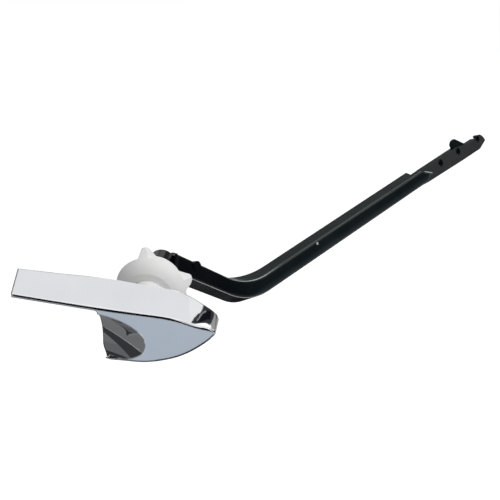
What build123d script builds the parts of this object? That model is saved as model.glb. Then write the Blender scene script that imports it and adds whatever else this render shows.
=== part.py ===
"""Cistern lever: a chromed handle, its bushing and nut, and the bent arm inside the tank.

Millimetres. The pivot runs along Y, -Y is the room side, +Y goes into the tank and +Z is up.
The origin lies on the pivot axis in the plane of the tank wall's outer face.
"""

import os
from math import cos, radians, sin, sqrt, tan

from build123d import *

# fits between the pieces
RUN_FIT = 0.06        # radial play of a piece that turns or screws on another
SEAT_GAP = 0.05       # play between pieces that are fastened together
FREE_GAP = 0.4        # open gap between pieces that move past each other

# stations along the pivot, measured from the wall's outer face
HANDLE_BACK_Y = -0.8
HANDLE_FRONT_Y = -18.0
FLANGE_T = 2.4
WALL_INNER_Y = 11.0
BUSHING_END_Y = 28.0
HEAD_END_Y = 41.0
HEAD_WALL_T = 2.0
JOURNAL_END_Y = BUSHING_END_Y + FREE_GAP
SQUARE_END_Y = HEAD_END_Y - HEAD_WALL_T - FREE_GAP

# bushing
FLANGE_R = 11.4
SHOULDER_W = 16.4
SHOULDER_CORNER_R = 2.5
SHOULDER_END_Y = 6.5
SPUD_R = 7.6
SPUD_CHAMFER = 1.0
JOURNAL_R = 5.0

# nut
NUT_NOSE_R = 10.8
NUT_SWELL = 0.7
NUT_RIM_R = 15.6
NUT_RIM_Y = 16.7
NUT_RIM_BACK_R = 14.6
NUT_RIM_T = 1.6
NUT_COLLAR_R = 12.4
NUT_BACK_Y = 24.0
LUG_COUNT = 4
LUG_FIRST_ANGLE = 11.5
LUG_R = 17.2
LUG_FOOT_R = 11.5
LUG_FOOT_W = 8.4
LUG_TOP_W = 3.0
LUG_ROUND = 1.6
LUG_PEAK_Y = 21.0
LUG_BACK_Y = 23.2

# handle, drawn as two outlines: one in the back plane and one in the front plane
BLADE_REACH = 53.0
BLADE_FRONT_SHORT = 2.0
BLADE_FRONT_REACH = BLADE_REACH - BLADE_FRONT_SHORT
TOP_BACK = [
    (-BLADE_REACH, 16.4),
    (-34.3, 15.5),
    (-10.3, 14.4),
    (4.0, 12.6),
    (18.6, 10.2),
    (27.0, 5.2),
    (32.8, -1.6),
]
TOP_FRONT = [
    (-BLADE_FRONT_REACH, 14.1),
    (-34.5, 12.4),
    (-14.0, 10.5),
    (4.2, 9.3),
    (19.8, 7.6),
    (29.0, 5.4),
    (34.4, 3.0),
]
LOW_BACK = [(32.8, -1.6), (26.0, -9.2), (13.0, -14.2), (2.5, -15.4), (-9.0, -15.4)]
LOW_FRONT = [(34.4, 3.0), (27.4, -4.6), (13.2, -12.6), (2.6, -14.9), (-5.0, -14.9)]
NOSE_TANGENT = (0.0, -1.0)
NOSE_PULL_RATIO = 0.4
HUB_LEFT_BACK = -16.0
HUB_LEFT_FRONT = -15.0
BLADE_T_BACK = 3.4
BLADE_T_FRONT = 2.0
BLADE_ROOT_R = 1.4
HUB_CORNER_R_BACK = 3.0
HUB_CORNER_R_FRONT = 5.0
HANDLE_EDGE_R = 0.9
HANDLE_BACK_CHAMFER = 0.3

# finger scoop in the handle's hub: an oval in the front face, pushed in along a slant to the left
SCOOP_TIP = (4.9, -7.2)
SCOOP_HALF_LENGTH = 19.6
SCOOP_HALF_WIDTH = 10.4
SCOOP_TILT_ANGLE = 12.0
SCOOP_DIVE_ANGLE = 23.0
SCOOP_FALL_ANGLE = 3.7
SCOOP_RUN_OUT = 6.0
SCOOP_LENGTH = 34.0

# square end of the handle's shank, and the screw in it
SQUARE_W = 6.4
SHANK_ROOT = 4.0
SCREW_R = 2.0
SCREW_LENGTH = 12.0
SCREW_HEAD_R = 4.0
SCREW_HEAD_H = 2.4
SCREW_HEAD_CHAMFER = 0.7
SCREW_HEAD_PLAY = 0.8
SCREW_SLOT_W = 1.0
SCREW_SLOT_L = 4.6
SCREW_SLOT_DEPTH = 1.4
SCREW_CLEAR_R = 2.4
TAP_DEPTH = 14.0

# arm: drawn flat, x along its first run, then given depth to the front and the rear of that plane
ARM_ROOT_Y = 34.8
RUN1_PLAN_ANGLE = 39.0
RUN1_RISE_ANGLE = -32.0
RUN2_PLAN_ANGLE = 57.7
RUN2_RISE_ANGLE = 2.9
ARM_DEPTH = 12.8
HEAD_R = 5.9
FRONT_START = [(2.0, 7.2), (2.0, -1.3)]
FRONT_BEND = [(47.8, 2.3), (50.8, -5.4)]
FRONT_BEND_R = [30.0, 36.0]
REAR_START = [(14.0, 6.2), (14.0, -3.0)]
REAR_BEND = [(47.8, 2.3), (52.9, -5.5)]
REAR_BEND_R = [58.0, 20.0]
BAR_FRONT_EDGE_R = 1.3
BAR_REAR_EDGE_R = 0.9
NUB_AT = (15.6, 4.3)
NUB_R = 2.2
NUB_PROUD = 0.5
SCREW_ACCESS_LENGTH = 20.0

# second run of the arm: its bar, then the strap, each drawn as distance and height from where it starts
RUN2_ORIGIN = (63.1, 5.1)
BAR_REACH = 130.0
FRONT_NOSE = [(-1.0, 6.5), (6.0, 2.5), (1.6, -0.7)]
REAR_NOSE = [(0.0, 6.7), (0.6, 2.9), (0.0, -1.0)]
BAR_END_SLANT = 5.0
STRAP_ROOT = 10.0
STRAP_REACH = 59.8
STRAP_REAR = 1.0
STRAP_T = 4.0
STRAP_LOW = [
    (-STRAP_ROOT, 5.8),
    (-STRAP_ROOT, -0.2),
    (1.0, -1.2),
    (35.0, -2.1),
    (STRAP_REACH - 6.9, -2.3),
    (STRAP_REACH, 0.2),
]
STRAP_TIP = (STRAP_REACH - 0.6, 2.1)
STRAP_TOP = [
    (STRAP_REACH - 3.2, 4.9),
    (STRAP_REACH - 4.9, 4.7),
    (STRAP_REACH - 8.3, 4.4),
    (44.3, 4.5),
    (33.2, 6.4),
    (1.0, 6.7),
    (-STRAP_ROOT, 5.8),
]
BARB = [(33.2, 4.0), (33.2, 8.4), (34.8, 9.9), (37.2, 10.2), (44.3, 4.5), (44.3, 4.0)]
BARB_T = 1.8
CHAIN_HOLE_R = 2.0
CHAIN_HOLES = [(16.8, 3.9), (34.0, 3.7)]
HOOK_NOTCH_R = 1.9
HOOK_NOTCH_AT = (STRAP_REACH - 6.3, 3.4)


def axial(radius, y_from, y_to):
    """A cylinder on the pivot axis between two stations."""
    plane = Plane.XZ.offset(-y_to)
    return extrude(plane * Circle(radius), y_to - y_from)


def axial_square(width, y_from, y_to, corner=0.0):
    """A square bar on the pivot axis between two stations."""
    outline = RectangleRounded(width, width, corner) if corner else Rectangle(width, width)
    return extrude(Plane.XZ.offset(-y_to) * outline, y_to - y_from)


def handle_section(y, top, low, hub_left, corner_r, blade_t):
    """One outline of the handle: blade to the left, hub with its nose to the right."""
    tip = top[0]
    under_tip = (tip[0], tip[1] - blade_t)
    fall = (top[2][1] - top[1][1]) / (top[2][0] - top[1][0])
    steep = sqrt(1.0 + fall * fall)
    centre_x = hub_left - BLADE_ROOT_R
    centre_z = top[1][1] + fall * (centre_x - top[1][0]) - blade_t - BLADE_ROOT_R * steep
    root_end = (centre_x - BLADE_ROOT_R * fall / steep, centre_z + BLADE_ROOT_R / steep)
    top_edge = Spline(*top, tangents=[(top[1][0] - tip[0], top[1][1] - tip[1]), NOSE_TANGENT])
    low_edge = Spline(*low, tangents=[NOSE_TANGENT, (-1.0, 0.0)], tangent_scalars=[NOSE_PULL_RATIO, 1.0])
    floor = Line(low[-1], (hub_left + corner_r, low[-1][1]))
    corner = TangentArc(floor @ 1, (hub_left, low[-1][1] + corner_r), tangent=(-1.0, 0.0))
    side = Line(corner @ 1, (hub_left, centre_z))
    root = TangentArc(side @ 1, root_end, tangent=(0.0, 1.0))
    under = Spline(root @ 1, under_tip, tangents=[(-1.0, -fall), (tip[0] - top[1][0], tip[1] - top[1][1])])
    end = Line(under_tip, tip)
    outline = make_face([top_edge, low_edge, floor, corner, side, root, under, end])
    return Plane.XZ.offset(-y) * outline


def make_handle():
    """Blade and hub in one casting, with the shank that runs through the wall."""
    back = handle_section(
        HANDLE_BACK_Y, TOP_BACK, LOW_BACK, HUB_LEFT_BACK, HUB_CORNER_R_BACK, BLADE_T_BACK
    )
    front = handle_section(
        HANDLE_FRONT_Y, TOP_FRONT, LOW_FRONT, HUB_LEFT_FRONT, HUB_CORNER_R_FRONT, BLADE_T_FRONT
    )
    body = loft([back, front], ruled=True)
    front_edges = body.faces().sort_by(Axis.Y)[0].edges()
    body = fillet(front_edges, HANDLE_EDGE_R)
    back_edges = body.faces().sort_by(Axis.Y)[-1].edges()
    body = chamfer(back_edges, HANDLE_BACK_CHAMFER)

    tilt = radians(SCOOP_TILT_ANGLE)
    centre_x = SCOOP_TIP[0] - SCOOP_HALF_LENGTH * cos(tilt)
    centre_z = SCOOP_TIP[1] + SCOOP_HALF_LENGTH * sin(tilt)
    oval = Ellipse(SCOOP_HALF_LENGTH, SCOOP_HALF_WIDTH)
    oval = Pos(centre_x, centre_z) * Rot(0.0, 0.0, -SCOOP_TILT_ANGLE) * oval
    dive = tan(radians(SCOOP_DIVE_ANGLE))
    fall = tan(radians(SCOOP_FALL_ANGLE))
    into_hub = Vector(-1.0, dive, -fall).normalized()
    opening = Pos(*(into_hub * -SCOOP_RUN_OUT)) * (Plane.XZ.offset(-HANDLE_FRONT_Y) * oval)
    body -= extrude(opening, SCOOP_LENGTH, dir=into_hub)

    pocket_floor = -FLANGE_T - FREE_GAP
    body -= axial(FLANGE_R + FREE_GAP, pocket_floor, 0.0)
    body += axial(JOURNAL_R, pocket_floor - SHANK_ROOT, JOURNAL_END_Y)
    body += axial_square(SQUARE_W, JOURNAL_END_Y - SHANK_ROOT, SQUARE_END_Y)
    body -= axial(SCREW_R + SEAT_GAP, SQUARE_END_Y - TAP_DEPTH, SQUARE_END_Y)
    return body


def make_bushing():
    """Flange outside the wall, square shoulder in the wall's hole, round spud for the nut."""
    body = axial(FLANGE_R, -FLANGE_T, 0.0)
    body += axial_square(SHOULDER_W, 0.0, SHOULDER_END_Y, SHOULDER_CORNER_R)
    spud = axial(SPUD_R, 0.0, BUSHING_END_Y)
    body += chamfer(spud.edges().sort_by(Axis.Y)[-1], SPUD_CHAMFER)
    body -= axial(JOURNAL_R + RUN_FIT, -FLANGE_T, BUSHING_END_Y)
    return body


def make_nut():
    """Cone that centres in the wall's hole, a rim behind it and lugs to turn it by."""
    nose = Vector(NUT_NOSE_R, WALL_INNER_Y)
    rim = Vector(NUT_RIM_R, NUT_RIM_Y)
    outward = Vector(rim.Y - nose.Y, nose.X - rim.X).normalized()
    cone = ThreePointArc(nose, (nose + rim) / 2 + outward * NUT_SWELL, rim)
    back = Polyline(
        rim,
        (NUT_RIM_BACK_R, NUT_RIM_Y + NUT_RIM_T),
        (NUT_COLLAR_R, NUT_RIM_Y + NUT_RIM_T),
        (NUT_COLLAR_R, NUT_BACK_Y),
        (0.0, NUT_BACK_Y),
        (0.0, WALL_INNER_Y),
        nose,
    )
    body = revolve(make_face([cone, *back.edges()]), Axis.Y)
    lug_limit = Polyline(
        (0.0, NUT_RIM_Y),
        (NUT_RIM_R, NUT_RIM_Y),
        (LUG_R, LUG_PEAK_Y),
        (LUG_R, LUG_BACK_Y),
        (0.0, LUG_BACK_Y),
        close=True,
    )
    lug_space = revolve(make_face(lug_limit), Axis.Y)
    foot = LUG_FOOT_W / 2
    top = LUG_TOP_W / 2
    lug_edge = Polyline(
        (LUG_FOOT_R, foot),
        (LUG_R, top),
        (LUG_R, -top),
        (LUG_FOOT_R, -foot),
        close=True,
    )
    lug_outline = make_face(lug_edge)
    lug_outline = fillet(lug_outline.vertices().sort_by(Axis.X)[-2:], LUG_ROUND)
    for number in range(LUG_COUNT):
        turned = Rot(0.0, 0.0, LUG_FIRST_ANGLE + 360.0 / LUG_COUNT * number) * lug_outline
        lug = extrude(Plane.XZ.offset(-LUG_BACK_Y) * turned, LUG_BACK_Y - NUT_RIM_Y)
        body += lug & lug_space
    body -= axial(SPUD_R + RUN_FIT, WALL_INNER_Y, NUT_BACK_Y)
    return body


def run_direction(plan, rise):
    """Unit vector from an angle in plan, counted from +X towards +Y, and a rise."""
    a = radians(plan)
    e = radians(rise)
    return Vector(cos(a) * cos(e), sin(a) * cos(e), sin(e))


def bar_outline(start, bend, bend_r, nose):
    """Side view of the arm's bar on one face: two straight runs with a bend, and the end of the bar."""
    top = FilletPolyline(start[0], bend[0], nose[0], radius=bend_r[0])
    low = FilletPolyline(start[1], bend[1], nose[2], radius=bend_r[1])
    end = Polyline(*nose)
    root = Line(start[1], start[0])
    return make_face([*top.edges(), *end.edges(), *low.edges(), root])


def make_arm():
    """Head on the shank, bent bar, and the strap with the chain holes."""
    run1 = run_direction(RUN1_PLAN_ANGLE, RUN1_RISE_ANGLE)
    run2 = run_direction(RUN2_PLAN_ANGLE, RUN2_RISE_ANGLE)
    arm = Plane((0.0, ARM_ROOT_Y, 0.0), x_dir=run1, z_dir=run1.cross(run2))
    bar_end = Pos(*RUN2_ORIGIN) * Rot(0.0, 0.0, run1.get_angle(run2)) * Pos(BAR_REACH, 0.0)
    half = ARM_DEPTH / 2

    def at_bar_end(points):
        return [(bar_end * Pos(*point)).position for point in points]

    front = bar_outline(FRONT_START, FRONT_BEND, FRONT_BEND_R, at_bar_end(FRONT_NOSE))
    rear = bar_outline(REAR_START, REAR_BEND, REAR_BEND_R, at_bar_end(REAR_NOSE))
    bar = loft([arm.offset(-half) * rear, arm.offset(half) * front], ruled=True)
    through = Axis(arm.origin, arm.z_dir)
    bar = fillet(bar.faces().sort_by(through)[-1].edges(), BAR_FRONT_EDGE_R)
    bar = fillet(bar.faces().sort_by(through)[0].edges(), BAR_REAR_EDGE_R)

    bar_end_plane = Plane((arm * bar_end).position, x_dir=run2, z_dir=arm.z_dir.cross(run2))
    behind_strap = Polyline(
        (0.0, half),
        (-BAR_END_SLANT, -STRAP_REAR),
        (STRAP_REACH, -STRAP_REAR),
        (STRAP_REACH, half),
        close=True,
    )
    bar -= extrude(bar_end_plane * make_face(behind_strap), ARM_DEPTH, both=True)

    strap_edges = [
        *Polyline(*STRAP_LOW).edges(),
        ThreePointArc(STRAP_LOW[-1], STRAP_TIP, STRAP_TOP[0]),
        *Polyline(*STRAP_TOP).edges(),
    ]
    strap_outline = make_face(strap_edges)
    barb_outline = make_face(Polyline(*BARB, close=True))
    for hole_at in CHAIN_HOLES:
        hole = Pos(*hole_at) * Circle(CHAIN_HOLE_R)
        strap_outline -= hole
        barb_outline -= hole
    strap_outline -= Pos(*HOOK_NOTCH_AT) * Circle(HOOK_NOTCH_R)
    strap = extrude(arm.offset(STRAP_REAR) * (bar_end * strap_outline), STRAP_T)
    barb = extrude(arm.offset(STRAP_REAR) * (bar_end * barb_outline), BARB_T)
    nub = extrude(arm * Pos(*NUB_AT) * Circle(NUB_R), half + NUB_PROUD)

    bar = bar + strap + barb + nub
    bar -= axial(SCREW_HEAD_R + SCREW_HEAD_PLAY, HEAD_END_Y, HEAD_END_Y + SCREW_ACCESS_LENGTH)
    body = bar + axial(HEAD_R, JOURNAL_END_Y + SEAT_GAP, HEAD_END_Y)
    body -= axial_square(SQUARE_W + 2 * SEAT_GAP, JOURNAL_END_Y, HEAD_END_Y - HEAD_WALL_T)
    body -= axial(SCREW_CLEAR_R, HEAD_END_Y - HEAD_WALL_T, HEAD_END_Y)
    return body


def make_screw():
    """Cross-slot screw that holds the arm on the shank."""
    head_y = HEAD_END_Y + SEAT_GAP
    head = axial(SCREW_HEAD_R, head_y, head_y + SCREW_HEAD_H)
    head = chamfer(head.edges().sort_by(Axis.Y)[-1], SCREW_HEAD_CHAMFER)
    slot = Rectangle(SCREW_SLOT_L, SCREW_SLOT_W) + Rectangle(SCREW_SLOT_W, SCREW_SLOT_L)
    head -= extrude(Plane.XZ.offset(-head_y - SCREW_HEAD_H) * slot, SCREW_SLOT_DEPTH)
    return head + axial(SCREW_R, head_y - SCREW_LENGTH, head_y)


def main():
    os.makedirs("parts", exist_ok=True)
    export_step(make_handle(), "parts/handle.step")
    export_step(make_bushing(), "parts/bushing.step")
    export_step(make_nut(), "parts/mounting_nut.step")
    export_step(make_arm(), "parts/arm.step")
    export_step(make_screw(), "parts/arm_screw.step")


main()
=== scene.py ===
"""Looks of the cistern lever: finishes of its five pieces, three fine meshes, studio light and camera."""

import math

import bmesh
import bpy
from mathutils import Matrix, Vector
from mathutils.bvhtree import BVHTree


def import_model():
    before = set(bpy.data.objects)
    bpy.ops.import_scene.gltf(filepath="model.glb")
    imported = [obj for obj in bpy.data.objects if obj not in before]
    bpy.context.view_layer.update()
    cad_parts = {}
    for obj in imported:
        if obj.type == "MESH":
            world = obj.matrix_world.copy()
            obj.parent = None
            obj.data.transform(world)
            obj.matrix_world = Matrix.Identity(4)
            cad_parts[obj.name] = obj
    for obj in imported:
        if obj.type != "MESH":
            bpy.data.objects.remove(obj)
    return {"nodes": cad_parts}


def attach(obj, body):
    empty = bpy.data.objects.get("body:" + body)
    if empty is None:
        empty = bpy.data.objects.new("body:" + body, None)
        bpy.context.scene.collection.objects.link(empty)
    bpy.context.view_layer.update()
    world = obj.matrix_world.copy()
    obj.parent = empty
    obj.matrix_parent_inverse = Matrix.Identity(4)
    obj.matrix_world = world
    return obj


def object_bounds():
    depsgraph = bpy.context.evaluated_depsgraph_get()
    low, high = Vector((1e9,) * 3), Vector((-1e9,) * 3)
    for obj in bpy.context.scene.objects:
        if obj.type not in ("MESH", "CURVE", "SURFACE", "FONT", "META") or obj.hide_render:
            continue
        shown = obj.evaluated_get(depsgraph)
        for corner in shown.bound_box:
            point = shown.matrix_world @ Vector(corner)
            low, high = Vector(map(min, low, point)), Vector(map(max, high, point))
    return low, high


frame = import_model()
cad_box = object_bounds()

MM = 0.001
X_AXIS = (1.0, 0.0, 0.0)
Y_AXIS = (0.0, 1.0, 0.0)

# camera: what it looks at, degrees from the front and upwards, distance in metres, lens in millimetres
CAMERA_TARGET = Vector((37.0, 60.0, -2.1)) * MM
CAMERA_AZIMUTH = 8.42
CAMERA_ELEVATION = 30.0
CAMERA_DISTANCE = 0.6
CAMERA_LENS = 93.86
CAMERA_CLIP = 0.01

# spud thread, left-handed, on the stretch behind the nut; it fades out over a share of a turn
SPUD_R = 7.6 * MM
THREAD_FROM = 24.1 * MM
THREAD_TO = 26.9 * MM
THREAD_H = 0.5 * MM
THREAD_SINK = 0.1 * MM
THREAD_PITCH = 2.0 * MM
THREAD_FOOT_W = 1.3 * MM
THREAD_CREST_W = 0.45 * MM
THREAD_STEPS = 48
THREAD_RUN_OUT = 0.25

# web between the arm's round head and its bar: front corners in millimetres, depth, rounding
WEB_FRONT = [(3.6, 40.7, 3.6), (5.2, 39.7, 3.8), (7.1, 38.6, 4.5), (7.1, 38.6, 1.5), (3.6, 40.7, 1.0)]
WEB_DEPTH = 2.5 * MM
WEB_ROUND = 0.25 * MM
WEB_ROUND_STEPS = 3

# ridge along the scoop's crease: its ends, the way into the scoop, and its section
RIDGE_ENDS = [Vector((-14.5, -10.2, -3.6)) * MM, Vector((2.6, -17.5, -9.65)) * MM]
RIDGE_INWARDS = Vector((0.39, 0.92, -0.03)).normalized()
RIDGE_STAND_OFF = 3.0 * MM
RIDGE_STEPS = 40
RIDGE_HALF_W = 0.3 * MM
RIDGE_H = 0.1 * MM
RIDGE_SINK = 0.06 * MM
RIDGE_RUN_OUT = 0.05

# finishes: a pair of tones each, with a cloud of noise that moves between them
CHROME_TONES = [(0.755, 0.765, 0.785), (0.785, 0.792, 0.81)]
# pale tones of the ridge along the scoop's crease, a painted highlight
CREASE_HIGHLIGHT_TONES = [(0.7, 0.71, 0.72), (0.78, 0.79, 0.8)]
WHITE_TONES = [(0.81, 0.81, 0.805), (0.85, 0.85, 0.845)]
STEEL_TONES = [(0.5, 0.5, 0.47), (0.64, 0.63, 0.6)]
# the arm's tones: blacker before the bend; greyer after it and along its foot as painted reflection; greyer
# on the strap
ARM_NEAR_TONES = [(0.0004, 0.0009, 0.002), (0.001, 0.0018, 0.0034)]
ARM_FAR_REFLECTION_TONES = [(0.0028, 0.0062, 0.007), (0.0046, 0.0084, 0.0094)]
ARM_FOOT_REFLECTION_TONES = [(0.014, 0.0195, 0.022), (0.018, 0.024, 0.027)]
STRAP_TONES = [(0.021, 0.024, 0.025), (0.029, 0.031, 0.032)]
# light tone of the painted highlights on the arm's edges and beside the bar's end, and of the light spot
HIGHLIGHT_AND_SPOT_TONE = (0.4, 0.44, 0.43, 1.0)
WHITE_GLOSS = 0.3
ARM_GLOSS = 0.4
STRAP_ROUGHNESS = 0.5
CREASE_HIGHLIGHT_METAL = 0.1
GRAIN_DEPTH = 0.1 * MM

# parts of the noise that the tones and the roughness make use of
TONE_SPAN = (0.35, 0.65)
ROUGHNESS_SPAN = (0.3, 0.7)

# how far the chrome's plating rounds an edge
PLATING_ROUND = 1.0 * MM
PLATING_SAMPLES = 8

# crease of the scoop: which way the scoop faces, planes of the crease and of its shade's end, and tilts
SCOOP_AXIS = (-0.918, 0.392, -0.062)
SCOOP_SIDE_FROM = -0.1
SCOOP_SIDE_TO = -0.18
SCOOP_FRONT_FROM = -0.2
SCOOP_FRONT_TO = -0.3
CREASE_SIDE = (-0.2945, 0.0938, -0.951)
CREASE_AT = 6.766 * MM
CREASE_BLUR = 0.1 * MM
CREASE_HALF_W = 0.22 * MM
CREASE_TILT = -0.36
SHADE_SIDE = (-0.5101, -0.1817, -0.8407)
SHADE_AT = 15.027 * MM
SHADE_BLUR = 0.3 * MM
SHADE_TILT = 0.22

# arm: directions along its second run, out of its front and up across it
ARM_RUN = (0.5337, 0.8442, 0.0506)
ARM_FRONT = (0.7512, -0.5007, 0.4301)
ARM_UP = (-0.3884, 0.1915, 0.9014)

# where the arm's tones change: painted reflection over the bend and on the band along its foot, and on the
# strap's front face
BEND_FROM = 50.0 * MM
BEND_TO = 85.0 * MM
REFLECTION_BAND_TOP = -25.8 * MM
REFLECTION_BAND_FOOT = -28.4 * MM
STRAP_FROM = 208.0 * MM
STRAP_FADE = 1.0 * MM
STRAP_FACE_AT = -12.43 * MM
STRAP_SKIN = 0.2 * MM

# light spot on the arm's front
LIGHT_SPOT_AT = Vector((64.4, 101.6, -19.8)) * MM
LIGHT_SPOT_R = 0.9 * MM
LIGHT_SPOT_CORE_R = 0.45 * MM

# painted highlight line beside the bar's end, in place of the light its rounded end catches: its directions,
# its place along them, how faces there are turned
HIGHLIGHT_LINE_RUN = (0.655, 0.645, -0.393)
HIGHLIGHT_LINE_SIDE = (-0.0806, 0.5769, 0.8125)
HIGHLIGHT_LINE_FROM = 198.2 * MM
HIGHLIGHT_LINE_TO = 205.0 * MM
HIGHLIGHT_LINE_AT = 82.4 * MM
HIGHLIGHT_LINE_HALF_W = 0.35 * MM
TURNED_AWAY = -0.5
TURNED_FRONT = -0.3

# painted highlights on the arm's front edges: how far they face forwards and up or down, and their stretch
# along the arm
EDGE_FROM = 0.48
EDGE_TO = 0.8
EDGE_BLUR = 0.08
EDGE_TURN_FROM = 0.1
EDGE_TURN_TO = 0.2
LOWER_HIGHLIGHT_END = 92.0 * MM
UPPER_HIGHLIGHT_FROM = 50.0 * MM
UPPER_HIGHLIGHT_TO = 95.0 * MM
HIGHLIGHT_FADE = 18.0 * MM

# studio, in metres and degrees
FLOOR_DROP = 0.25
FLOOR_SIZE = 8.0
FLOOR_TONE = (0.8, 0.8, 0.8, 1.0)
FLOOR_GLOW = 0.6
AMBIENT = 0.42
CARD_RADIUS = 0.9
CARD_STEP = 4.0

# soft lamps: name, azimuth, elevation, distance, size, power
LAMPS = [
    ("key_lamp", 110.0, 45.0, 0.9, 0.5, 3.6),
    ("top_lamp", 30.0, 75.0, 0.9, 0.6, 1.6),
]

# reflection cards: name, azimuth from and to, elevation from and to, tone
CARDS = [
    ("zenith", 0.0, 360.0, 67.0, 90.0, (1.12, 1.12, 1.12)),
    ("top", -30.0, 36.0, 37.0, 66.0, (0.93, 0.94, 0.945)),
    ("front_flag", 172.0, 202.0, -26.0, 67.0, (0.004, 0.004, 0.005)),
    ("crease_light", 202.0, 232.0, -24.0, 24.0, (0.4, 0.42, 0.45)),
    ("front_left", 202.0, 232.0, 24.0, 60.0, (0.15, 0.15, 0.155)),
    ("front_right", 112.0, 160.0, -6.0, 62.0, (0.02, 0.022, 0.024)),
    ("leaf_light", 150.0, 232.0, -40.0, -26.0, (0.5, 0.56, 0.635)),
    ("front_low", 200.0, 232.0, -68.0, -42.0, (0.17, 0.17, 0.175)),
    ("front_under", 140.0, 200.0, -70.0, -40.0, (0.015, 0.015, 0.016)),
    ("left_high", 232.0, 322.0, -6.0, 60.0, (0.14, 0.145, 0.15)),
    ("left_low", 232.0, 338.0, -68.0, -34.0, (0.175, 0.18, 0.18)),
    ("left_low_end", 338.0, 352.0, -54.0, -34.0, (0.14, 0.145, 0.145)),
    ("left_under", 232.0, 322.0, -34.0, -6.0, (0.175, 0.18, 0.18)),
    ("low_back", -22.0, 40.0, -68.0, -54.0, (0.012, 0.013, 0.016)),
    ("low_right", -8.0, 40.0, -54.0, -34.0, (0.012, 0.013, 0.016)),
    ("back_mid", -30.0, 8.0, -20.0, 8.0, (0.085, 0.1, 0.105)),
    ("nose_low", 4.0, 28.0, -32.0, 13.0, (0.38, 0.38, 0.36)),
    ("right_mid", 40.0, 112.0, -6.0, 29.0, (0.06, 0.07, 0.075)),
    ("right_low", 40.0, 150.0, -68.0, -6.0, (0.45, 0.46, 0.47)),
    ("crease_low", 200.0, 275.0, -88.0, -68.0, (0.4, 0.42, 0.45)),
    ("nadir", 275.0, 560.0, -90.0, -70.0, (0.05, 0.05, 0.05)),
]

# cards cut to an outline, in front of the others: name, radius, tone, corners as azimuth and elevation
CUT_CARDS = [
    (
        "scoop_end", 0.86, (0.05, 0.05, 0.055),
        [
            (-40, 45), (-27, 36), (-20, 25), (-15, 10), (-13, 2),
            (-10, 2), (-12, 14), (-16, 26), (-24, 39), (-38, 51),
        ],
    ),
    (
        "scoop_shade", 0.86, (0.042, 0.044, 0.046),
        [
            (-116, -4), (-112, 20), (-98, 38), (-75, 47), (-55, 46), (-40, 38),
            (-40, -40), (-60, -53), (-85, -52), (-105, -38), (-114, -20),
        ],
    ),
    (
        "nose_band", 0.86, (1.35, 1.35, 1.35),
        [(-1, 23), (-1, 15), (5, 8), (8, 10), (6.5, 15), (6, 22), (8, 29), (14, 36), (13, 39), (4, 31)],
    ),
    (
        "nose_dark", 0.84, (0.04, 0.042, 0.048),
        [(6, 22), (8, 29), (14, 36.5), (20, 34), (25, 26), (30, 21), (26, 10), (23, 0), (15, 9), (6.5, 15)],
    ),
    (
        "nose_black", 0.82, (0.008, 0.009, 0.012),
        [(10, 27), (14, 33), (19, 30), (23, 23), (25, 11), (14, 14)],
    ),
    (
        "nose_streak", 0.8, (0.32, 0.33, 0.35),
        [
            (14, 31.5), (17, 31), (20, 28.5), (22.2, 26.6), (23.8, 23.5), (24, 21),
            (22.8, 21), (22.3, 23.3), (21, 25.8), (19, 27.5), (16.5, 29.6), (14, 30.3),
        ],
    ),
]


def direction(azimuth, elevation):
    """Unit vector: azimuth 0 points along +Y and grows towards +X."""
    a = math.radians(azimuth)
    e = math.radians(elevation)
    return Vector((math.sin(a) * math.cos(e), math.cos(a) * math.cos(e), math.sin(e)))


def new_material(name):
    """An empty node material, its node tree and its output node."""
    material = bpy.data.materials.new(name)
    material.use_nodes = True
    tree = material.node_tree
    tree.nodes.clear()
    output = tree.nodes.new("ShaderNodeOutputMaterial")
    return material, tree, output


def put(tree, value, socket):
    """Link another node's output to a socket, or set a fixed value on it."""
    if isinstance(value, bpy.types.NodeSocket):
        tree.links.new(value, socket)
    else:
        socket.default_value = value


def noise(tree, scale, detail, roughness=0.5):
    """Noise over the object's own coordinates."""
    coordinates = tree.nodes.new("ShaderNodeTexCoord")
    texture = tree.nodes.new("ShaderNodeTexNoise")
    texture.inputs["Scale"].default_value = scale
    texture.inputs["Detail"].default_value = detail
    texture.inputs["Roughness"].default_value = roughness
    tree.links.new(coordinates.outputs["Object"], texture.inputs["Vector"])
    return texture.outputs["Fac"]


def spread(tree, value, low, high):
    """A noise mapped to a range."""
    node = tree.nodes.new("ShaderNodeMapRange")
    node.inputs["From Min"].default_value = ROUGHNESS_SPAN[0]
    node.inputs["From Max"].default_value = ROUGHNESS_SPAN[1]
    node.inputs["To Min"].default_value = low
    node.inputs["To Max"].default_value = high
    tree.links.new(value, node.inputs["Value"])
    return node.outputs["Result"]


def two_tone(tree, value, tones):
    """A colour between a pair of tones, by a noise."""
    node = tree.nodes.new("ShaderNodeValToRGB")
    for element, position, tone in zip(node.color_ramp.elements, TONE_SPAN, tones):
        element.position = position
        element.color = (*tone, 1.0)
    tree.links.new(value, node.inputs["Fac"])
    return node.outputs["Color"]


def measured(tree, source, operation, vector):
    """A number from a surface point's own coordinates or normal and a fixed vector."""
    coordinates = tree.nodes.new("ShaderNodeTexCoord")
    node = tree.nodes.new("ShaderNodeVectorMath")
    node.operation = operation
    node.inputs[1].default_value = vector
    tree.links.new(coordinates.outputs[source], node.inputs[0])
    return node.outputs["Value"]


def along(tree, axis):
    """Distance of a surface point along an axis."""
    return measured(tree, "Object", "DOT_PRODUCT", axis)


def away(tree, point):
    """Distance of a surface point from a fixed point."""
    return measured(tree, "Object", "DISTANCE", point)


def facing(tree, axis):
    """How far a surface faces along an axis."""
    return measured(tree, "Normal", "DOT_PRODUCT", axis)


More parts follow.
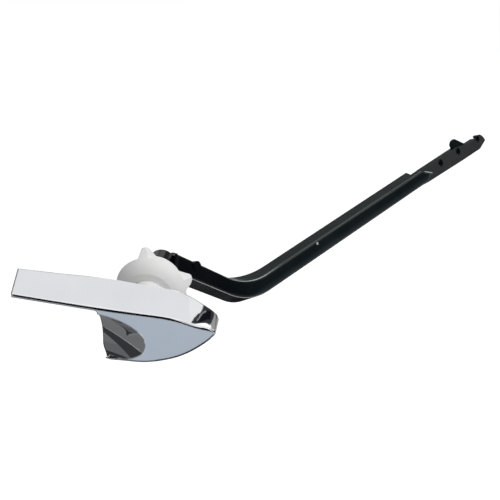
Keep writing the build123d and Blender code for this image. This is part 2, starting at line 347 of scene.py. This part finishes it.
def ramp(tree, value, start, end):
    """A value that climbs smoothly from 0 at start to 1 at end."""
    node = tree.nodes.new("ShaderNodeMapRange")
    node.interpolation_type = "SMOOTHSTEP"
    node.inputs["From Min"].default_value = min(start, end)
    node.inputs["From Max"].default_value = max(start, end)
    node.inputs["To Min"].default_value = 0.0 if start < end else 1.0
    node.inputs["To Max"].default_value = 1.0 if start < end else 0.0
    tree.links.new(value, node.inputs["Value"])
    return node.outputs["Result"]


def combined(tree, operation, first, *others):
    """Several values, linked or fixed, taken together one after the other."""
    result = first
    for other in others:
        node = tree.nodes.new("ShaderNodeMath")
        node.operation = operation
        put(tree, result, node.inputs[0])
        put(tree, other, node.inputs[1])
        result = node.outputs["Value"]
    return result


def product(tree, *values):
    """All values multiplied."""
    return combined(tree, "MULTIPLY", *values)


def largest(tree, *values):
    """The largest of the values."""
    return combined(tree, "MAXIMUM", *values)


def between(tree, value, low, high, blur):
    """1 between two values and 0 outside them, with soft ends."""
    return product(tree, ramp(tree, value, low, low + blur), ramp(tree, value, high, high - blur))


def around(tree, value, middle, half_width):
    """1 near a value and 0 away from it, with soft ends."""
    return between(tree, value, middle - half_width, middle + half_width, half_width / 2)


def mixed(tree, share, first, second):
    """A colour that goes from the first to the second by a share."""
    node = tree.nodes.new("ShaderNodeMix")
    node.data_type = "RGBA"
    tree.links.new(share, node.inputs["Factor"])
    put(tree, first, node.inputs["A"])
    put(tree, second, node.inputs["B"])
    return node.outputs["Result"]


def tilted(tree, axis, tilt):
    """The surface's normal, leaning towards an axis of the object by a share."""
    turned = tree.nodes.new("ShaderNodeVectorTransform")
    turned.vector_type = "NORMAL"
    turned.convert_from = "OBJECT"
    turned.convert_to = "WORLD"
    turned.inputs["Vector"].default_value = axis
    lean = tree.nodes.new("ShaderNodeVectorMath")
    lean.operation = "SCALE"
    tree.links.new(turned.outputs["Vector"], lean.inputs["Vector"])
    tree.links.new(tilt, lean.inputs["Scale"])
    geometry = tree.nodes.new("ShaderNodeNewGeometry")
    total = tree.nodes.new("ShaderNodeVectorMath")
    total.operation = "ADD"
    tree.links.new(geometry.outputs["Normal"], total.inputs[0])
    tree.links.new(lean.outputs["Vector"], total.inputs[1])
    unit = tree.nodes.new("ShaderNodeVectorMath")
    unit.operation = "NORMALIZE"
    tree.links.new(total.outputs["Vector"], unit.inputs[0])
    return unit.outputs["Vector"]


def scoop_normal(tree):
    """The handle's normal, which leans in the scoop: one way below the crease, the other way on its line."""
    sideways = ramp(tree, facing(tree, X_AXIS), SCOOP_SIDE_FROM, SCOOP_SIDE_TO)
    forwards = ramp(tree, facing(tree, Y_AXIS), SCOOP_FRONT_FROM, SCOOP_FRONT_TO)
    below = along(tree, CREASE_SIDE)
    under = ramp(tree, below, CREASE_AT, CREASE_AT + CREASE_BLUR)
    near = ramp(tree, along(tree, SHADE_SIDE), SHADE_AT + SHADE_BLUR, SHADE_AT - SHADE_BLUR)
    shade = product(tree, under, near, SHADE_TILT)
    line = product(tree, around(tree, below, CREASE_AT, CREASE_HALF_W), CREASE_TILT)
    lean = combined(tree, "ADD", shade, line)
    return tilted(tree, SCOOP_AXIS, product(tree, lean, sideways, forwards))


def soft_edges(tree, radius, normal):
    """Normals that round the edges a little more than the solid does, as thick plating does."""
    node = tree.nodes.new("ShaderNodeBevel")
    node.samples = PLATING_SAMPLES
    node.inputs["Radius"].default_value = radius
    tree.links.new(normal, node.inputs["Normal"])
    return node.outputs["Normal"]


def bump(tree, height, strength, normal=None):
    """A fine grain from a height, over the plain normal or a given one."""
    node = tree.nodes.new("ShaderNodeBump")
    node.inputs["Strength"].default_value = strength
    node.inputs["Distance"].default_value = GRAIN_DEPTH
    tree.links.new(height, node.inputs["Height"])
    if normal is not None:
        tree.links.new(normal, node.inputs["Normal"])
    return node.outputs["Normal"]


def surface(tree, output, **sockets):
    """A principled shader with the given sockets set or linked."""
    shader = tree.nodes.new("ShaderNodeBsdfPrincipled")
    for name, value in sockets.items():
        put(tree, value, shader.inputs[name.replace("_", " ")])
    tree.links.new(shader.outputs["BSDF"], output.inputs["Surface"])


def chrome():
    """Bright chrome plate with a faint haze."""
    material, tree, output = new_material("chrome_plate")
    haze = noise(tree, scale=60.0, detail=4.0)
    peel = noise(tree, scale=160.0, detail=2.0)
    rounded = soft_edges(tree, PLATING_ROUND, scoop_normal(tree))
    surface(
        tree, output,
        Base_Color=two_tone(tree, haze, CHROME_TONES),
        Metallic=1.0,
        Roughness=spread(tree, haze, low=0.02, high=0.05),
        Normal=bump(tree, peel, strength=0.01, normal=rounded),
    )
    return material


def crease_highlight_paint():
    """A pale, barely metallic grey for the ridge along the scoop's crease: a painted highlight line."""
    material, tree, output = new_material("crease_highlight_paint")
    haze = noise(tree, scale=300.0, detail=3.0)
    surface(
        tree, output,
        Base_Color=two_tone(tree, haze, CREASE_HIGHLIGHT_TONES),
        Metallic=CREASE_HIGHLIGHT_METAL,
        Roughness=spread(tree, haze, low=0.45, high=0.55),
    )
    return material


def white_plastic():
    """Moulded white plastic with low gloss."""
    material, tree, output = new_material("white_plastic")
    cloud = noise(tree, scale=90.0, detail=3.0)
    grain = noise(tree, scale=1400.0, detail=3.0)
    surface(
        tree, output,
        Base_Color=two_tone(tree, cloud, WHITE_TONES),
        Roughness=spread(tree, cloud, low=0.4, high=0.5),
        Specular_IOR_Level=WHITE_GLOSS,
        Normal=bump(tree, grain, strength=0.06),
    )
    return material


def painted_edge_highlights(tree):
    """Share of the painted highlights on the arm's front edges: the lower one up to the bend, the upper one
    on it.
    """
    run = along(tree, ARM_RUN)
    turn = facing(tree, ARM_UP)
    lower = product(
        tree,
        ramp(tree, turn, -EDGE_TURN_FROM, -EDGE_TURN_TO),
        ramp(tree, run, LOWER_HIGHLIGHT_END, LOWER_HIGHLIGHT_END - HIGHLIGHT_FADE),
    )
    upper = product(
        tree,
        ramp(tree, turn, EDGE_TURN_FROM, EDGE_TURN_TO),
        between(tree, run, UPPER_HIGHLIGHT_FROM, UPPER_HIGHLIGHT_TO, HIGHLIGHT_FADE),
    )
    rounding = between(tree, facing(tree, ARM_FRONT), EDGE_FROM, EDGE_TO, EDGE_BLUR)
    return product(tree, largest(tree, lower, upper), rounding)


def painted_highlight_line(tree):
    """Share of the painted highlight line beside the bar's end, kept off the arm's back."""
    across = around(tree, along(tree, HIGHLIGHT_LINE_SIDE), HIGHLIGHT_LINE_AT, HIGHLIGHT_LINE_HALF_W)
    lengthwise = between(tree, along(tree, HIGHLIGHT_LINE_RUN), HIGHLIGHT_LINE_FROM, HIGHLIGHT_LINE_TO, HIGHLIGHT_LINE_HALF_W)
    in_front = ramp(tree, facing(tree, ARM_FRONT), TURNED_AWAY, TURNED_FRONT)
    return product(tree, across, lengthwise, in_front)


def strap_face(tree):
    """Share of the frosted front face of the strap."""
    beyond_bar = ramp(tree, along(tree, ARM_RUN), STRAP_FROM, STRAP_FROM + STRAP_FADE)
    at_front = around(tree, along(tree, ARM_FRONT), STRAP_FACE_AT, STRAP_SKIN)
    return product(tree, beyond_bar, at_front)


def arm_tone_with_painted_reflection(tree, cloud, strap):
    """The arm's colour with painted reflection: blacker before the bend, greyer after it and at its foot,
    and greyer on the strap.
    """
    near_tone = two_tone(tree, cloud, ARM_NEAR_TONES)
    far_reflection_tone = two_tone(tree, cloud, ARM_FAR_REFLECTION_TONES)
    foot_reflection_tone = two_tone(tree, cloud, ARM_FOOT_REFLECTION_TONES)
    strap_tone = two_tone(tree, cloud, STRAP_TONES)
    beyond_bend = ramp(tree, along(tree, ARM_RUN), BEND_FROM, BEND_TO)
    foot_reflection_band = ramp(tree, along(tree, ARM_UP), REFLECTION_BAND_TOP, REFLECTION_BAND_FOOT)
    bar_tone = mixed(tree, foot_reflection_band, mixed(tree, beyond_bend, near_tone, far_reflection_tone), foot_reflection_tone)
    return mixed(tree, strap, bar_tone, strap_tone)


def black_plastic():
    """Moulded black plastic, frosted on the strap, with painted reflection after the bend and at its foot,
    painted highlights on its edges and beside the bar's end, and a light spot.
    """
    material, tree, output = new_material("black_plastic")
    cloud = noise(tree, scale=70.0, detail=4.0)
    grain = noise(tree, scale=2200.0, detail=4.0)
    strap = strap_face(tree)
    # light spot on the arm's front
    light_spot = ramp(tree, away(tree, LIGHT_SPOT_AT), LIGHT_SPOT_R, LIGHT_SPOT_CORE_R)
    # painted highlights on the arm's edges and beside the bar's end, with the light spot, in one light tone
    highlights_and_spot = largest(tree, light_spot, painted_highlight_line(tree), painted_edge_highlights(tree))
    smooth = spread(tree, cloud, low=0.2, high=0.28)
    surface(
        tree, output,
        Base_Color=mixed(tree, highlights_and_spot, arm_tone_with_painted_reflection(tree, cloud, strap), HIGHLIGHT_AND_SPOT_TONE),
        Roughness=largest(tree, product(tree, strap, STRAP_ROUGHNESS), smooth),
        Specular_IOR_Level=ARM_GLOSS,
        Normal=bump(tree, grain, strength=0.08),
    )
    return material


def plated_steel():
    """Plated steel with uneven shine."""
    material, tree, output = new_material("plated_steel")
    streaks = noise(tree, scale=900.0, detail=4.0, roughness=0.6)
    surface(
        tree, output,
        Base_Color=two_tone(tree, streaks, STEEL_TONES),
        Metallic=1.0,
        Roughness=spread(tree, streaks, low=0.24, high=0.42),
    )
    return material


def dress(node, material):
    """Give a CAD node its finish."""
    slots = frame["nodes"][node].data.materials
    slots.clear()
    slots.append(material)


def new_object(name, mesh_data, material):
    """A new object in the scene from mesh data, with its material."""
    mesh = bpy.data.meshes.new(name)
    mesh_data.to_mesh(mesh)
    mesh_data.free()
    mesh.materials.append(material)
    piece = bpy.data.objects.new(name, mesh)
    bpy.context.scene.collection.objects.link(piece)
    return piece


def add_piece(name, mesh_data, material, body):
    """Put a new piece into the scene, on its body and with its finish."""
    bmesh.ops.recalc_face_normals(mesh_data, faces=mesh_data.faces)
    piece = new_object(name, mesh_data, material)
    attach(piece, body)


def swept(sections):
    """A closed mesh through a row of sections that have the same number of corners."""
    mesh_data = bmesh.new()
    rings = [[mesh_data.verts.new(corner) for corner in section] for section in sections]
    for before, after in zip(rings, rings[1:]):
        for corner in range(len(before)):
            beside = (corner + 1) % len(before)
            mesh_data.faces.new((before[corner], before[beside], after[beside], after[corner]))
    mesh_data.faces.new(rings[0][::-1])
    mesh_data.faces.new(rings[-1])
    return mesh_data


def swell(share, run_out):
    """Height of a ridge, from 0 to 1, that rises at its start and fades out at its end."""
    return min(1.0, share / run_out, (1.0 - share) / run_out)


def thread(material):
    """The spud's thread behind the nut: a left-handed ridge round the spud."""
    turns = (THREAD_TO - THREAD_FROM - THREAD_FOOT_W) / THREAD_PITCH
    count = round(turns * THREAD_STEPS)
    foot = SPUD_R - THREAD_SINK
    sections = []
    for step in range(count + 1):
        share = step / count
        crest = foot + (THREAD_SINK + THREAD_H) * swell(share, THREAD_RUN_OUT / turns)
        middle = THREAD_FROM + THREAD_FOOT_W / 2 + turns * share * THREAD_PITCH
        angle = 2.0 * math.pi * turns * share
        profile = [
            (foot, -THREAD_FOOT_W / 2),
            (crest, -THREAD_CREST_W / 2),
            (crest, THREAD_CREST_W / 2),
            (foot, THREAD_FOOT_W / 2),
        ]
        sections.append([(r * math.cos(angle), middle + shift, r * math.sin(angle)) for r, shift in profile])
    add_piece("spud_thread_1", swept(sections), material, "fixing")


def head_web(material):
    """The web that joins the arm's round head to its bar."""
    front = [Vector(corner) * MM for corner in WEB_FRONT]
    back = [corner + Vector(Y_AXIS) * WEB_DEPTH for corner in front]
    mesh_data = swept([back, front])
    bmesh.ops.bevel(
        mesh_data,
        geom=mesh_data.edges[:],
        offset=WEB_ROUND,
        segments=WEB_ROUND_STEPS,
        profile=0.5,
        affect="EDGES",
    )
    add_piece("head_web", mesh_data, material, "lever")


def crease_points():
    """Points and outward normals where the crease lies on the scoop."""
    mesh = frame["nodes"]["handle"].data
    handle = BVHTree.FromPolygons([v.co for v in mesh.vertices], [p.vertices for p in mesh.polygons])
    found = []
    for step in range(RIDGE_STEPS + 1):
        middle = RIDGE_ENDS[0].lerp(RIDGE_ENDS[1], step / RIDGE_STEPS)
        hit = handle.ray_cast(middle - RIDGE_INWARDS * RIDGE_STAND_OFF, RIDGE_INWARDS)
        found.append(hit[:2])
    return found


def crease_ridge(material):
    """A fine ridge along the scoop's crease that fades out at both ends."""
    found = crease_points()
    course = (found[-1][0] - found[0][0]).normalized()
    sections = []
    for step, (point, normal) in enumerate(found):
        side = course.cross(normal).normalized() * RIDGE_HALF_W
        foot = point - normal * RIDGE_SINK
        crest = foot + normal * (RIDGE_SINK + RIDGE_H) * swell(step / RIDGE_STEPS, RIDGE_RUN_OUT)
        sections.append([foot - side, crest, foot + side])
    add_piece("scoop_ridge", swept(sections), material, "lever")


def glow(name, tone):
    """A plain shining material for a studio card."""
    material, tree, output = new_material(name)
    shine = tree.nodes.new("ShaderNodeEmission")
    shine.inputs["Color"].default_value = (*tone, 1.0)
    tree.links.new(shine.outputs["Emission"], output.inputs["Surface"])
    return material


def show_in_mirrors_only(name, mesh_data, tone):
    """A shining studio card that neither the camera nor the plain surfaces see."""
    piece = new_object(name, mesh_data, glow(name, tone))
    piece.visible_camera = False
    piece.visible_diffuse = False
    piece.visible_shadow = False


def card(name, azimuth_from, azimuth_to, elevation_from, elevation_to, tone):
    """A curved card round the handle, between two azimuths and two elevations."""
    columns = math.ceil((azimuth_to - azimuth_from) / CARD_STEP)
    rows = math.ceil((elevation_to - elevation_from) / CARD_STEP)
    mesh_data = bmesh.new()
    grid = []
    for row in range(rows + 1):
        elevation = elevation_from + (elevation_to - elevation_from) * row / rows
        line = []
        for column in range(columns + 1):
            azimuth = azimuth_from + (azimuth_to - azimuth_from) * column / columns
            line.append(mesh_data.verts.new(direction(azimuth, elevation) * CARD_RADIUS))
        grid.append(line)
    for below, above in zip(grid, grid[1:]):
        for column in range(columns):
            beside = column + 1
            mesh_data.faces.new((below[column], below[beside], above[beside], above[column]))
    show_in_mirrors_only(name, mesh_data, tone)


def cut_card(name, radius, tone, corners):
    """A flat card cut to an outline, a little nearer than the curved ones."""
    mesh_data = bmesh.new()
    points = [mesh_data.verts.new(direction(*corner) * radius) for corner in corners]
    mesh_data.faces.new(points)
    show_in_mirrors_only(name, mesh_data, tone)


def seen_rays(tree):
    """1 for camera, glossy and transmission rays, 0 for the rest."""
    path = tree.nodes.new("ShaderNodeLightPath").outputs
    return largest(tree, path["Is Camera Ray"], path["Is Glossy Ray"], path["Is Transmission Ray"])


def floor():
    """A pale floor that shows white and keeps the shadow."""
    material, tree, output = new_material("floor")
    paint = tree.nodes.new("ShaderNodeBsdfDiffuse")
    paint.inputs["Color"].default_value = FLOOR_TONE
    shine = tree.nodes.new("ShaderNodeEmission")
    tree.links.new(product(tree, seen_rays(tree), FLOOR_GLOW), shine.inputs["Strength"])
    both = tree.nodes.new("ShaderNodeAddShader")
    tree.links.new(paint.outputs["BSDF"], both.inputs[0])
    tree.links.new(shine.outputs["Emission"], both.inputs[1])
    tree.links.new(both.outputs["Shader"], output.inputs["Surface"])
    low = cad_box[0].z - FLOOR_DROP
    half = FLOOR_SIZE / 2
    mesh_data = bmesh.new()
    corners = [(-half, -half, low), (half, -half, low), (half, half, low), (-half, half, low)]
    mesh_data.faces.new([mesh_data.verts.new(corner) for corner in corners])
    piece = new_object("floor", mesh_data, material)
    piece.visible_glossy = False


def world():
    """White to the eye and in reflections, softer as light."""
    background = bpy.data.worlds.new("studio")
    background.use_nodes = True
    tree = background.node_tree
    tree.nodes.clear()
    output = tree.nodes.new("ShaderNodeOutputWorld")
    sky = tree.nodes.new("ShaderNodeBackground")
    sky.inputs["Color"].default_value = (1.0, 1.0, 1.0, 1.0)
    level = tree.nodes.new("ShaderNodeMapRange")
    level.inputs["To Min"].default_value = AMBIENT
    level.inputs["To Max"].default_value = 1.0
    tree.links.new(seen_rays(tree), level.inputs["Value"])
    tree.links.new(level.outputs["Result"], sky.inputs["Strength"])
    tree.links.new(sky.outputs["Background"], output.inputs["Surface"])
    bpy.context.scene.world = background


def aim(name, data, outwards, distance):
    """Put a lamp or a camera at a distance from the middle of the lever, and point it there."""
    piece = bpy.data.objects.new(name, data)
    piece.location = CAMERA_TARGET + outwards * distance
    piece.rotation_euler = outwards.to_track_quat("Z", "Y").to_euler()
    bpy.context.scene.collection.objects.link(piece)
    return piece


def lamp(name, azimuth, elevation, distance, size, power):
    """A square soft lamp that points at the lever."""
    data = bpy.data.lights.new(name, "AREA")
    data.shape = "SQUARE"
    data.size = size
    data.energy = power
    piece = aim(name, data, direction(azimuth, elevation), distance)
    piece.visible_camera = False
    piece.visible_glossy = False


def camera():
    """The photo's view."""
    data = bpy.data.cameras.new("camera")
    data.lens = CAMERA_LENS
    data.clip_start = CAMERA_CLIP
    back = direction(180.0 - CAMERA_AZIMUTH, CAMERA_ELEVATION)
    bpy.context.scene.camera = aim("camera", data, back, CAMERA_DISTANCE)


white = white_plastic()
black = black_plastic()
dress("handle", chrome())
dress("bushing", white)
dress("mounting_nut", white)
dress("arm", black)
dress("arm_screw", plated_steel())
thread(white)
head_web(black)
crease_ridge(crease_highlight_paint())

world()
floor()
for card_row in CARDS:
    card(*card_row)
for card_row in CUT_CARDS:
    cut_card(*card_row)
for lamp_row in LAMPS:
    lamp(*lamp_row)
camera()

scene = bpy.context.scene
scene.view_settings.view_transform = "Standard"
